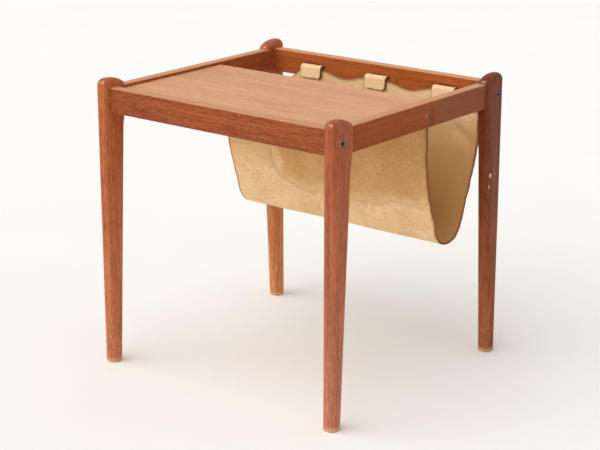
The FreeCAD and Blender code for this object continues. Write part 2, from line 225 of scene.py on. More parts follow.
class Graph:
    """A node tree, with one method that adds any node to it."""

    def __init__(self, tree):
        self.tree = tree

    def node(self, kind, sockets=None, output=0, **settings):
        """Add a node, set its settings and then its sockets; returns one of its outputs."""
        made = self.tree.nodes.new(kind)
        for name, value in settings.items():
            setattr(made, name, value)
        for name, value in (sockets or {}).items():
            socket = made.inputs[name]
            for item in value if isinstance(value, list) else [value]:
                if isinstance(item, Wire):
                    self.tree.links.new(item.socket, socket)
                elif socket.type == "RGBA":
                    socket.default_value = (*item, 1.0)
                else:
                    socket.default_value = item
        return Wire(self, made.outputs[output]) if made.outputs else None

    def part(self, vector, axis):
        """One of the coordinates of a vector."""
        return self.node("ShaderNodeSeparateXYZ", {"Vector": vector}, axis)


class Finish(Graph):
    """A procedural material."""

    MIX_FACTOR, MIX_A, MIX_B, MIX_RESULT = 0, 6, 7, 2

    def __init__(self, name):
        self.material = bpy.data.materials.new(name)
        self.material.use_nodes = True
        super().__init__(self.material.node_tree)
        self.tree.nodes.clear()

    def place(self):
        """Coordinates of the object in metres."""
        return self.node("ShaderNodeTexCoord", output="Object")

    def value(self, key):
        """Value that the mesh carries under a name."""
        return self.node("ShaderNodeAttribute", output="Fac", attribute_name=key)

    def mix(self, amount, first, second, blend="MIX"):
        """Colour that goes from the first to the second as the amount goes from 0 to 1."""
        sockets = {self.MIX_FACTOR: amount, self.MIX_A: first, self.MIX_B: second}
        return self.node("ShaderNodeMix", sockets, self.MIX_RESULT, data_type="RGBA", blend_type=blend)

    def fade(self, value, low, high):
        """Value eased from 0 at low to 1 at high."""
        sockets = {"Value": value, "From Min": low, "From Max": high}
        return self.node("ShaderNodeMapRange", sockets, interpolation_type="SMOOTHSTEP")

    def scaled(self, place, scale):
        """Coordinates multiplied axis by axis."""
        return self.node("ShaderNodeVectorMath", {0: place, 1: scale}, operation="MULTIPLY")

    def cloud(self, place, scale, detail=2.0, roughness=0.5):
        """Noise of about 0.5, with that many features to a metre along each axis."""
        spread = self.scaled(place, scale if isinstance(scale, tuple) else (scale,) * 3)
        sockets = {"Vector": spread, "Scale": 1.0, "Detail": detail, "Roughness": roughness}
        return self.node("ShaderNodeTexNoise", sockets)

    def away(self, place, point):
        """Distance of the coordinates from a point."""
        return self.node("ShaderNodeVectorMath", {0: place, 1: point}, "Value", operation="DISTANCE")

    def bump(self, height, distance, strength=1.0):
        """Normal from a height of 0 to 1 that stands for a real distance."""
        return self.node("ShaderNodeBump", {"Height": height, "Distance": distance, "Strength": strength})

    def surface(self, **sockets):
        """Close the tree with a Principled shader; an underscore in a name stands for a space."""
        named = {name.replace("_", " "): value for name, value in sockets.items()}
        shader = self.node("ShaderNodeBsdfPrincipled", named)
        self.node("ShaderNodeOutputMaterial", {"Surface": shader})
        return self.material


# Finishes

GRAIN_TURNS = {"X": (0.0, 0.0, 0.0), "Y": (0.0, 0.0, -math.pi / 2), "Z": (0.0, math.pi / 2, 0.0)}
PITH = {"Y": 0.055, "Z": 0.16}
# Very dark brown for soot-like marks and for painted shadow at the slots and beside a tab
SOOT_AND_SHADOW = (0.10, 0.030, 0.020)
UMBER = (0.22, 0.072, 0.036)
AMBER = (0.52, 0.16, 0.05)
PLUM = (0.20, 0.055, 0.045)
SHADOW = (0.44, 0.165, 0.065)
# Painted bounce light: tint by which a leg lightens towards the floor
FOOT_BOUNCE_LIGHT = (1.20, 1.43, 1.90)
# Marks of use and painted shade: point, reach along each axis, tint, strength and how much of the reach is solid
LEG_MARKS = (
    ((0.231, 0.1846, 0.3004), (0.003, 0.0022, 0.0042), BARE, 0.85, 0.8),
    ((0.231, 0.1960, 0.3007), (0.003, 0.0014, 0.0018), BARE, 0.75, 0.8),
    ((0.231, 0.1829, 0.2816), (0.003, 0.0012, 0.0040), BARE, 0.70, 0.8),
)
# On the right rail's outer face: its back half darker, a dark upright line and a small amber patch
RAIL_MARKS = (
    ((0.2255, 0.125, 0.428), (0.060, 0.105, 0.080), UMBER, 0.60, 0.6),
    ((0.2255, 0.027, 0.423), (0.020, 0.010, 0.026), SOOT_AND_SHADOW, 0.60, 0.1),
    ((0.2255, 0.011, 0.427), (0.020, 0.006, 0.008), AMBER, 0.60, 0.0),
)
FRONT_MARKS = (
    ((-0.100, -0.2065, 0.410), (0.080, 0.020, 0.006), PLUM, 0.45, 0.0),
    ((0.075, -0.2065, 0.409), (0.060, 0.020, 0.005), PLUM, 0.45, 0.0),
    ((0.0508, -0.2065, 0.4415), (0.002, 0.020, 0.004), BARE, 0.22, 0.2),
)
# Painted shadow along the top of each slot in the back apron, a little above its peg
SLOT_SHADOW_LIFT = 0.0004
SLOT_BOXES = [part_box("sling_peg_back_" + side) for side in SIDES]
SLOT_SHADOW_TOPS = [((low.x + high.x) / 2, high.z + SLOT_SHADOW_LIFT) for low, high in SLOT_BOXES]
# On the back apron's inner face: a dark upright scratch, painted shadow beside the middle tab's right side, and the
# painted shadow at the slots
BACK_MARKS = (
    ((0.0448, 0.1895, 0.4241), (0.0016, 0.020, 0.0065), SOOT_AND_SHADOW, 0.75, 0.5),
    ((0.0300, 0.1895, 0.4205), (0.0050, 0.020, 0.0050), SOOT_AND_SHADOW, 0.30, 0.0),
) + tuple(((x, 0.1895, z), (0.0225, 0.004, 0.0016), SOOT_AND_SHADOW, 0.85, 0.6) for x, z in SLOT_SHADOW_TOPS)
PANEL_MARKS = (
    ((-0.170, 0.000, 0.442), (0.150, 0.110, 0.030), SHADOW, 0.20, 0.0),
    ((0.030, -0.119, 0.442), (0.060, 0.010, 0.030), PLUM, 0.20, 0.0),
    ((0.085, -0.142, 0.442), (0.045, 0.008, 0.030), PLUM, 0.22, 0.0),
)
# Each board's grain axis, tone beside the mean of the table, figure, share of dark dashes, marks of use and painted
# shade, and tint of painted bounce light low on a leg
BOARDS = {
    "leg_front_left": ("Z", (1.08, 1.10, 0.98), 1.05, 1.1, (), FOOT_BOUNCE_LIGHT),
    "leg_front_right": ("Z", (0.88, 0.84, 0.86), 1.05, 1.1, (), (1.36, 1.86, 2.90)),
    "leg_back_left": ("Z", (0.98, 0.98, 0.90), 1.0, 0.8, (), (1.45, 2.05, 2.20)),
    "leg_back_right": ("Z", (0.41, 0.355, 0.315), 1.2, 1.0, LEG_MARKS, (1.85, 2.30, 2.80)),
    "front_apron": ("X", (0.76, 0.70, 0.66), 1.15, 1.3, FRONT_MARKS, None),
    "back_apron": ("X", (1.02, 0.97, 0.60), 0.7, 0.5, BACK_MARKS, None),
    "cross_rail": ("X", (0.95, 0.95, 0.90), 0.8, 0.8, (), None),
    "side_rail_left": ("Y", (0.95, 0.90, 0.75), 0.9, 0.8, (), None),
    "side_rail_right": ("Y", (0.73, 0.59, 0.30), 0.6, 0.5, RAIL_MARKS, None),
}
RAIL_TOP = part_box("side_rail_right")[1].z
# Noise of the wood: features to a metre along the grain and both ways across it, then detail and roughness
WOOD_NOISE = {
    "sway": ((2.2, 9.0, 9.0),),
    "fibre": ((11.0, 620.0, 620.0), 4.0, 0.68),
    "fleck": ((70.0, 420.0, 420.0), 3.0, 0.70),
    "streak": ((4.5, 110.0, 110.0), 3.0, 0.62),
    "pore": ((130.0, 1150.0, 1150.0), 1.0),
    "porous": ((11.0, 80.0, 80.0),),
    "plum": ((2.6, 24.0, 24.0),),
    "polish": ((30.0, 260.0, 260.0),),
    "ragged": ((120.0, 420.0, 420.0),),
    "scuff": ((170.0, 330.0, 330.0), 1.0),
}
# Noise at which a layer sets in, and at which it is full
WOOD_LEVELS = {"pore": (0.56, 0.66), "porous": (0.36, 0.62), "plum": (0.48, 0.70), "scuff": (0.69, 0.75)}
TONE_SHARES = {"band": 0.10, "fibre": 0.34, "fleck": 0.32, "streak": 0.24}
TONE_LEVELS = (0.39, 0.61)
RING_SWAY = 0.030
PLUM_CAST, PLUM_SHARE = (0.84, 0.80, 1.05), 0.4
PORE_SHARE, PORE_ROUGHNESS, POLISH_RANGE = 0.6, 0.15, 0.14
FIBRE_RELIEF, PORE_RELIEF = 0.6, 0.7
RAIL_OIL = 0.3
MARK_FRAY, MARK_END, MARK_CORE = 0.6, 1.3, 0.3
# Heights between which a leg lightens towards the floor as painted bounce light, is scuffed and is rubbed down to bare
# wood, and a rail's top edge is rubbed and lightened as painted sheen
FOOT_BOUNCE_HEIGHTS, SCUFF_FADE, FOOT_WEAR = (0.42, 0.0), (0.13, 0.03), (0.013, 0.0052)
TOP_SHEEN_AND_WEAR = (RAIL_TOP - 0.0016, RAIL_TOP - 0.0004)
FOOT_FRAY, TOP_FRAY = 0.006, 0.0012
BARE_SHARE, TOP_SHEEN_AND_WEAR_SHARE = 0.6, 0.75


def weighted(wires, shares):
    """Sum of named wires, each times its share."""
    return sum(wires[key] * share for key, share in shares.items())


def teak(name, settings, grain, light, dark, figure=1.0, dashes=1.0, marks=(), foot_bounce_tint=None):
    """Oiled teak: soft streaks, fine fibres and short dark pores along the grain axis, with its own marks of use and
    painted shade, painted bounce light low on a leg, and painted sheen on the top edges of the other boards.
    """
    finish = Finish(name)
    mean = [(a + b) / 2 for a, b in zip(light, dark)]
    light, dark = (tuple(m + (c - m) * figure for m, c in zip(mean, tint)) for tint in (light, dark))
    place = finish.place()
    height = finish.part(place, "Z")
    board = finish.node("ShaderNodeMapping", {"Vector": place, "Rotation": GRAIN_TURNS[grain]})

    def layer(key):
        """Noise along the board, eased between its levels if it has them."""
        cloud = finish.cloud(board, *WOOD_NOISE[key])
        return finish.fade(cloud, *WOOD_LEVELS[key]) if key in WOOD_LEVELS else cloud

    offsets = [finish.part(board, axis) - pith for axis, pith in PITH.items()]
    ring = (offsets[0] ** 2.0 + offsets[1] ** 2.0) ** 0.5 + layer("sway") * RING_SWAY
    sockets = {"W": ring * (1.0 / settings.band), "Scale": 1.0, "Detail": 1.5}
    tones = {key: layer(key) for key in ("fibre", "fleck", "streak")}
    tones["band"] = finish.node("ShaderNodeTexNoise", sockets, noise_dimensions="1D")
    pores = layer("pore") * layer("porous") * dashes
    ragged = layer("ragged")

    wood = finish.mix(finish.fade(weighted(tones, TONE_SHARES), *TONE_LEVELS), dark, light)
    wood = finish.mix(layer("plum") * PLUM_SHARE * figure, wood, PLUM_CAST, "MULTIPLY")
    wood = finish.mix(pores * PORE_SHARE, wood, settings.pore)
    for point, reach, tint, strength, core in marks:
        shrink = tuple(1 / size for size in reach)
        away = finish.away(finish.scaled(place, shrink), tuple(at / size for at, size in zip(point, reach)))
        mark = finish.fade(away + ragged * MARK_FRAY, MARK_END, MARK_CORE + core)
        wood = finish.mix(mark * strength, wood, tint)
    if foot_bounce_tint:
        # Painted bounce light from the floor: the leg's colour lightens towards its lower end
        wood = finish.mix(finish.fade(height, *FOOT_BOUNCE_HEIGHTS), wood, foot_bounce_tint, "MULTIPLY")
        bare = finish.fade(height + ragged * FOOT_FRAY, *FOOT_WEAR)
        scuffs = layer("scuff") * finish.fade(height, *SCUFF_FADE)
        for amount in (bare, scuffs):
            wood = finish.mix(amount * BARE_SHARE, wood, settings.bare)
    else:
        # Top edges of the rails: partly rubbed wear, partly painted sheen where the light grazes them
        worn_and_sheen = finish.fade(height + (ragged - 0.5) * TOP_FRAY, *TOP_SHEEN_AND_WEAR)
        wood = finish.mix(worn_and_sheen * TOP_SHEEN_AND_WEAR_SHARE, wood, settings.worn_and_sheen)
    rough = (layer("polish") - 0.5) * POLISH_RANGE + pores * PORE_ROUGHNESS + settings.roughness
    oil = settings.oil if foot_bounce_tint else settings.oil * RAIL_OIL
    relief = tones["fibre"] * FIBRE_RELIEF - pores * PORE_RELIEF
    return finish.surface(
        Base_Color=wood, Roughness=rough, Specular_IOR_Level=settings.gloss,
        Coat_Weight=(1.0 - pores) * oil, Coat_Roughness=0.24,
        Normal=finish.bump(relief, distance=0.0003, strength=0.3))


# Values a sheet carries: its edges, its stain and painted shade, and the painted shade of its inner side
SHEET_VALUES = ("edge", "stained", "inner")
# Noise of the suede: features to a metre on the flat sheet, then detail and roughness
SUEDE_NOISE = {
    "blotch": (16.0, 4.0, 0.55),
    "nap": (90.0, 4.0, 0.65),
    "speckle": ((210.0, 150.0, 1.0), 4.0, 0.8),
    "fuzz": ((1500.0, 1100.0, 1.0), 4.0, 0.75),
    "brushed": ((70.0, 520.0, 1.0), 4.0, 0.7),
}
SUEDE_LEVELS = {"rubbed": (1.04, 1.56), "golden": (0.28, 0.58), "fleck": (0.50, 0.76), "fuzz": (0.48, 0.74)}
RUBBED_SHARES = {"blotch": 0.6, "nap": 0.5, "speckle": 0.8, "brushed": 0.7}
GOLDEN_SHARES = {"blotch": 0.45, "nap": 0.30, "speckle": 0.25}
RELIEF_SHARES = {"fuzz": 0.40, "nap": 0.20, "speckle": 0.20, "brushed": 0.20}
# Flecks grow stronger where the golden stain, the painted shade and the inner side's painted shade lie
FLECK_SHARES, FLECK_BASE, FUZZ_SHARE = {"stained": 0.42, "inner": 0.18}, 0.16, 0.22
# Burnished border and cut edge: how far the nap frays them, their levels and their share
SUEDE_BORDERS = ((0.6, 0.25, 0.75, 0.75), (0.2, 0.76, 0.94, 0.85))


def suede(name, face, settings, seed):
    """Brushed suede on the piece's own flat coordinates: rubbed patches, stains that are partly painted shade, painted
    shade on the inner side, flecks, and burnished cut edges that on a strap also carry painted shade at its slot.
    """
    finish = Finish(name)
    flat = finish.node("ShaderNodeUVMap", uv_map="flat")
    flat = finish.node("ShaderNodeMapping", {"Vector": flat, "Location": (seed, seed, 0.0)})
    values = {key: finish.value(key) for key in SHEET_VALUES}
    noises = {key: finish.cloud(flat, *row) for key, row in SUEDE_NOISE.items()}
    amounts = {
        "rubbed": weighted(noises, RUBBED_SHARES), "golden": weighted(noises, GOLDEN_SHARES),
        "fleck": noises["speckle"], "fuzz": noises["fuzz"],
    }
    amounts = {key: finish.fade(amount, *SUEDE_LEVELS[key]) for key, amount in amounts.items()}
    skin = finish.mix(amounts["rubbed"], face, settings.pale)
    # Painted shade on the inner side, in the inside colour
    skin = finish.mix(values["inner"], skin, settings.inside)
    # Golden brown: partly a stain, partly painted shade
    skin = finish.mix(values["stained"] * amounts["golden"], skin, settings.stain)
    skin = finish.mix(amounts["fleck"] * (weighted(values, FLECK_SHARES) + FLECK_BASE), skin, settings.fleck)
    skin = finish.mix(amounts["fuzz"] * FUZZ_SHARE, skin, settings.stain)
    for tint, (fray, low, high, share) in zip((settings.fleck, settings.cut), SUEDE_BORDERS):
        border = finish.fade(values["edge"] + (noises["nap"] - 0.5) * fray, low, high)
        skin = finish.mix(border * share, skin, tint)
    return finish.surface(
        Base_Color=skin, Roughness=noises["nap"] * 0.15 + 0.83,
        Normal=finish.bump(weighted(noises, RELIEF_SHARES), distance=0.0008, strength=0.8),
        Specular_IOR_Level=0.10, Sheen_Weight=0.05, Sheen_Roughness=0.5, Sheen_Tint=(1.0, 0.85, 0.65))


def plain_wood(name, light, dark, scale, roughness):
    """Unfinished wood or board with flecks of that many to a metre along each axis."""
    finish = Finish(name)
    fleck = finish.cloud(finish.place(), scale, detail=3.0, roughness=0.65)
    wood = finish.mix(finish.fade(fleck, low=0.35, high=0.65), dark, light)
    return finish.surface(
        Base_Color=wood, Roughness=fleck * 0.2 + roughness,
        Normal=finish.bump(fleck, distance=0.0003, strength=0.4))


def steel(name, settings):
    """Dull zinc-plated steel, with painted shade where the attribute recess is set."""
    finish = Finish(name)
    recess = finish.value("recess")
    tarnish = finish.cloud(finish.place(), scale=900.0, detail=3.0, roughness=0.6)
    metal = finish.mix(finish.fade(tarnish, low=0.4, high=0.7) * 0.5, settings.steel, settings.socket)
    # Painted shade in the sockets and slots: dark colour and less metal
    metal = finish.mix(recess, metal, settings.socket)
    return finish.surface(
        Base_Color=metal, Metallic=1.0 - recess * 0.8, Roughness=tarnish * 0.25 + 0.32,
        Normal=finish.bump(tarnish, distance=0.0001, strength=0.3))


# Meshes

def seated(piece, nodes):
    """Let a piece stand for CAD nodes, which are hidden, and ride on the table."""
    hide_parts(*nodes)
    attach(piece, "root")
    return piece


def new_piece(name, mesh, material):
    """An object at the origin with that mesh and one material."""
    piece = bpy.data.objects.new(name, mesh)
    bpy.context.scene.collection.objects.link(piece)
    mesh.materials.clear()
    mesh.materials.append(material)
    return piece


SHARP = math.radians(28)
FLAT = math.radians(0.5)
WELD = 2e-6


def shade(shape):
    """Smooth shading that stops at sharp edges."""
    for face in shape.faces:
        face.smooth = True
    for edge in shape.edges:
        edge.smooth = edge.calc_face_angle(0.0) < SHARP


def face_outward(mesh, keep_sharp):
    """Turn all faces of a closed mesh outwards, and keep its sharp edges if that is asked."""
    shape = bmesh.new()
    shape.from_mesh(mesh)
    bmesh.ops.recalc_face_normals(shape, faces=shape.faces)
    if keep_sharp:
        shade(shape)
    shape.to_mesh(mesh)
    shape.free()


def shaded_copy(node, material, round_over=0.0):
    """Copy of a CAD node with its loose triangles joined and smooth shading between its sharp edges."""
    shape = bmesh.new()
    shape.from_mesh(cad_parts[node].data)
    bmesh.ops.remove_doubles(shape, verts=shape.verts, dist=WELD)
    bmesh.ops.dissolve_limit(shape, angle_limit=FLAT, verts=shape.verts, edges=shape.edges)
    bmesh.ops.triangulate(shape, faces=[face for face in shape.faces if len(face.verts) > 4])
    shade(shape)
    mesh = bpy.data.meshes.new(node + "_teak")
    shape.to_mesh(mesh)
    shape.free()
    if "custom_normal" in mesh.attributes:
        mesh.attributes.remove(mesh.attributes["custom_normal"])
    piece = new_piece(mesh.name, mesh, material)
    if round_over:
        bevel = piece.modifiers.new("Eased edges", "BEVEL")
        bevel.width = round_over
        bevel.segments = 2
        bevel.limit_method = "ANGLE"
    even = piece.modifiers.new("Even normals", "WEIGHTED_NORMAL")
    even.keep_sharp = True
    return seated(piece, [node])


def bent_line(corners, bends, step):
    """Points along a line through (y, z) corners, every corner but the first and the last bent to its radius, about a
    step apart.
    """
    corners = [Vector(corner) for corner in corners]
    points = [corners[0]]
    for before, corner, after, bend in zip(corners, corners[1:], corners[2:], bends):
        back = (before - corner).normalized()
        ahead = (after - corner).normalized()
        half = back.angle(ahead) / 2
        start = corner + back * (bend / math.tan(half))
        centre = corner + (back + ahead).normalized() * (bend / math.sin(half))
        arm = start - centre
        turn = math.copysign(math.pi - 2 * half, back.y * ahead.x - back.x * ahead.y)
        count = max(3, math.ceil(abs(turn) * bend / step))
        for i in range(count + 1):
            angle = turn * i / count
            swung = Vector((
                arm.x * math.cos(angle) - arm.y * math.sin(angle),
                arm.x * math.sin(angle) + arm.y * math.cos(angle),
            ))
            points.append(centre + swung)
    points.append(corners[-1])
    return np.array(points)


def run_along(points):
    """Distance of every point from the first, along the line."""
    steps = np.linalg.norm(np.diff(points, axis=0), axis=1)
    return np.concatenate([[0.0], np.cumsum(steps)])


def spaced(total, step, insets):
    """Places from 0 to a total, a step apart but closer at both ends, where they start with the insets."""
    count = max(2, round((total - 2 * insets[-1]) / step))
    middle = np.linspace(insets[-1], total - insets[-1], count + 1)
    return np.concatenate([insets[:-1], middle, total - np.array(insets[:-1])[::-1]])


RIM_REACH = 0.45
# Painted shade on the inner side: it sets in this far below a top edge and is full this much further down
INNER_SHADE_START, INNER_SHADE_LENGTH = 0.0225, 0.075


def thick_sheet(name, grid, flat, edge, stained, thickness, material):
    """Closed mesh of a grid of middle points, with rounded rims, flat coordinates and the values of its finish."""
    normal = np.cross(np.gradient(grid, axis=0), np.gradient(grid, axis=1))
    normal /= np.linalg.norm(normal, axis=2, keepdims=True)
    half = thickness / 2
    index = np.arange(edge.size).reshape(edge.shape)
    ring = np.concatenate([index[:, 0], index[-1, 1:], index[-2::-1, -1], index[0, -2:0:-1]])
    inside = np.pad(index[1:-1, 1:-1], 1, mode="edge").ravel()[ring]
    middle = grid.reshape(-1, 3)
    outward = middle[ring] - middle[inside]
    outward /= np.linalg.norm(outward, axis=1, keepdims=True)
    rim = middle[ring] + outward * half * RIM_REACH
    points = np.concatenate([(grid + normal * half).reshape(-1, 3), (grid - normal * half).reshape(-1, 3), rim])

    upper = np.stack([index[:-1, :-1], index[1:, :-1], index[1:, 1:], index[:-1, 1:]], axis=-1).reshape(-1, 4)
    lower = upper[:, [0, 3, 2, 1]] + edge.size
    between = 2 * edge.size + np.arange(len(ring))
    ahead, between_ahead = np.roll(ring, -1), np.roll(between, -1)
    upper_rim = np.stack([ahead, ring, between, between_ahead], axis=1)
    lower_rim = np.stack([between_ahead, between, ring + edge.size, ahead + edge.size], axis=1)
    mesh = bpy.data.meshes.new(name)
    mesh.from_pydata(points.tolist(), [], np.concatenate([upper, lower, upper_rim, lower_rim]).tolist())
    mesh.shade_smooth()

    uv = np.concatenate([flat.reshape(-1, 2)] * 2 + [flat.reshape(-1, 2)[ring]])
    layer = mesh.uv_layers.new(name="flat")
    corners = np.zeros(len(mesh.loops), np.int32)
    mesh.loops.foreach_get("vertex_index", corners)
    layer.data.foreach_set("uv", uv[corners].astype(np.float32).ravel())
    # Painted shade on the inner side only, deepening below the top edges
    from_end = np.minimum(flat[..., 1], flat[..., 1].max() - flat[..., 1])
    inner = np.clip((from_end - INNER_SHADE_START) / INNER_SHADE_LENGTH, 0.0, 1.0)
    for key, first, second in zip(SHEET_VALUES, (edge, stained, inner), (edge, stained, inner * 0)):
        listed = np.concatenate([first.ravel(), second.ravel(), first.ravel()[ring]])
        attribute = mesh.attributes.new(key, "FLOAT", "POINT")
        attribute.data.foreach_set("value", listed.astype(np.float32))
    face_outward(mesh, keep_sharp=False)
    return new_piece(name, mesh, material)


def edge_amount(across, along, width, total, fade):
    """How near every point of a flat sheet is to its nearest edge, from 1 on it to 0 inside."""
    near_side = np.minimum(across, width - across)
    near_end = np.minimum(along, total - along)
    return np.exp(-np.minimum(near_side, near_end) / fade)


# Sling

FRONT_BELOW_PEG = 0.005
SLING_INSETS = (0.0, 0.0007, 0.0016, 0.0032)
SLING_BORDER = 0.0042


def sling_line(settings):
    """Middle line of the sling from its front top edge to its back one, where the tabs hold it."""
    low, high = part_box("sling")
    half = settings.thickness / 2
    front_y = low.y + half
    back_y = high.y - half
    peg_low, peg_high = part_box("sling_peg_front_middle")
    front_top = (peg_low.z + peg_high.z) / 2 - FRONT_BELOW_PEG
    back_top = high.z
    nose_y = front_y + (back_y - front_y) * settings.nose_share
    nose_z = low.z + half + settings.nose
    front_z = front_top - settings.front_fall
    back_z = back_top - settings.back_fall
    front = tangent(Vector((front_y, front_z)), Vector((nose_y, nose_z)), settings.nose, -1)
    back = tangent(Vector((back_y, back_z)), Vector((nose_y, nose_z)), settings.nose, 1)
    gap = Vector((back_y - front_y, back_z - front_z))
    run = (gap.x * back.y - gap.y * back.x) / (front.x * back.y - front.y * back.x)
    corners = [
        (front_y, front_top),
        (front_y, front_z),
        (front_y + front.x * run, front_z + front.y * run),
        (back_y, back_z),
        (back_y, back_top),
    ]
    return bent_line(corners, (settings.front_bend, settings.nose, settings.back_bend), settings.spacing / 2)


def tangent(point, centre, radius, side):
    """Direction from a point to a circle's tangent on the given side."""
    way = centre - point
    angle = math.atan2(way.y, way.x) + side * math.asin(radius / way.length)
    return Vector((math.cos(angle), math.sin(angle)))


def edge_dip(across, settings, droop):
    """How far a top edge of the sling lies below its height at the tabs."""
    boxes = [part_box("sling_tab_back_" + side) for side in SIDES]
    low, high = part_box("sling")
    outer_left, outer_right = boxes[0][0].x, boxes[-1][1].x
    if across < outer_left or across > outer_right:
        left = (across - low.x) / (outer_left - low.x)
        right = (high.x - across) / (high.x - outer_right)
        return droop * (1 - min(left, right) ** 2)
    for left, right in zip(boxes, boxes[1:]):
        if left[1].x < across < right[0].x:
            way = (across - left[1].x) / (right[0].x - left[1].x)
            return settings.scallop * math.sin(math.pi * way) ** 2
    return 0.0


# Lines on the sheets as (x, z) points: creases of the front and a fold of the back, with depth and width, and the
# tide line of the front
CREASES = (
    (((-0.0847, 0.3300), (-0.0783, 0.3065), (-0.0781, 0.2927), (-0.0852, 0.2737)), 0.0034, 0.0055),
    (((-0.1046, 0.3144), (-0.1040, 0.2885), (-0.0926, 0.2705)), 0.0026, 0.0060),
    (((-0.1870, 0.3157), (-0.1409, 0.3207)), 0.0020, 0.0045),
)
TIDE = (
    (-0.0880, 0.2692), (-0.0500, 0.2564), (-0.0280, 0.2527), (-0.0070, 0.2546), (0.0460, 0.2538), (0.1033, 0.2576),
    (0.1588, 0.2660), (0.2039, 0.2752),
)
BACK_FOLD = (((0.1655, 0.3640), (0.1906, 0.3434), (0.2115, 0.3200)), 0.0058, 0.010)
FOLD_FADE = 0.012
# Waves of the hide's side edges and its swells: waves to a metre across and along, seed and depth
EDGE_WAVE = (4.0, 26.0, 3.1, 0.0018)
SWELL = (7.0, 8.0, 8.7, 0.0016)
WAVE_REACH = 0.028
# Where something sets in, and the length over which it grows
FOLD_TOP = (0.020, 0.050)
BACK_STAIN_AND_SHADE, LEFT_STAIN_AND_SHADE = (0.030, 0.060), (0.270, 0.060)
TIDE_STAIN_AND_SHADE, RIGHT_STAIN_AND_SHADE = (-0.004, 0.030), (-0.100, 0.036)
# Shares of the golden colour: stain and painted shade on the sheets, and painted shade along the creases
STAIN_AND_SHADE_SHARES = {"back": 0.25, "left": 0.45, "right": 0.85, "tide": 0.50, "crease": 0.42}
TIDE_WIDTH, CREASE_SHADE_SHARE = 0.0028, 0.7
WOBBLE, WOBBLES = 0.010, 30.0  # of the stain's border, and waves to a metre
# Wavy trim of the cut side edges: depth, mean, waves to a metre and reach
TRIM, TRIM_MEAN, TRIM_WAVES, TRIM_REACH = 0.0017, 0.4, 42.0, 0.010
# Dimension, lacunarity and octaves of the fractal noises
WOBBLE_FRACTAL, TRIM_FRACTAL = (0.8, 2.0, 3), (1.0, 2.0, 2)


def ridge(across, height, line, width):
    """1 on a line through points of a sheet, easing to 0 beyond its width."""
    place = Vector((across, height))
    nearest = math.inf
    for start, end in zip(line, line[1:]):
        start, way = Vector(start), Vector(end) - Vector(start)
        share = min(max((place - start).dot(way) / way.length_squared, 0.0), 1.0)
        nearest = min(nearest, (place - start - way * share).length)
    return math.exp(-(nearest / width) ** 2)


def grown(value, start, run):
    """0 up to the start and 1 from a run beyond it, smooth between them."""
    share = min(max((value - start) / run, 0.0), 1.0)
    return share * share * (3 - 2 * share)


def waves(across, along, row):
    """Depth of smooth waves at a place of the sheet."""
    every_across, every_along, seed, depth = row
    return depth * noise.noise(Vector((across * every_across, along * every_along, seed)))


def fold_depth(across, height, along, total, low, high):
    """How far the hide stands in from its plain form at a place: edge waves, creases and soft swells."""
    near_left, near_right = across - low.x, high.x - across
    ends = math.exp(-near_left / WAVE_REACH) + math.exp(-near_right / WAVE_REACH)
    depth = waves(across, along, EDGE_WAVE) * ends + waves(across, along, SWELL)
    if along < total / 2:
        depth += sum(amount * ridge(across, height, line, width) for line, amount, width in CREASES)
    else:
        line, amount, width = BACK_FOLD
        depth -= amount * ridge(across, height, line, width) * (1 - math.exp(-near_right / FOLD_FADE))
    return depth * grown(min(along, total - along), *FOLD_TOP)


def stain_and_shade_amount(across, height, along, total):
    """How golden brown the suede is, partly as a stain and partly as painted shade: above the tide line of the front,
    less at its left, a little at the back deeper below its top, and painted shade along the creases.
    """
    if along > total / 2:
        return STAIN_AND_SHADE_SHARES["back"] * grown(total - along, *BACK_STAIN_AND_SHADE)
    wobble = WOBBLE * noise.fractal(Vector((across * WOBBLES, height * WOBBLES, 1.7)), *WOBBLE_FRACTAL)
    tide = np.interp(across, *zip(*TIDE))
    right = STAIN_AND_SHADE_SHARES["right"] * grown(height + wobble - tide, *TIDE_STAIN_AND_SHADE)
    right *= grown(across + wobble, *RIGHT_STAIN_AND_SHADE)
    left = STAIN_AND_SHADE_SHARES["left"] * grown(height + wobble, *LEFT_STAIN_AND_SHADE)
    lines = STAIN_AND_SHADE_SHARES["tide"] * ridge(across, height + wobble, TIDE, TIDE_WIDTH)
    # Painted shade along the creases
    for line, _, width in CREASES:
        lines += STAIN_AND_SHADE_SHARES["crease"] * ridge(across, height, line, width * CREASE_SHADE_SHARE)
    return min(max(right, left) + lines, 1.0)


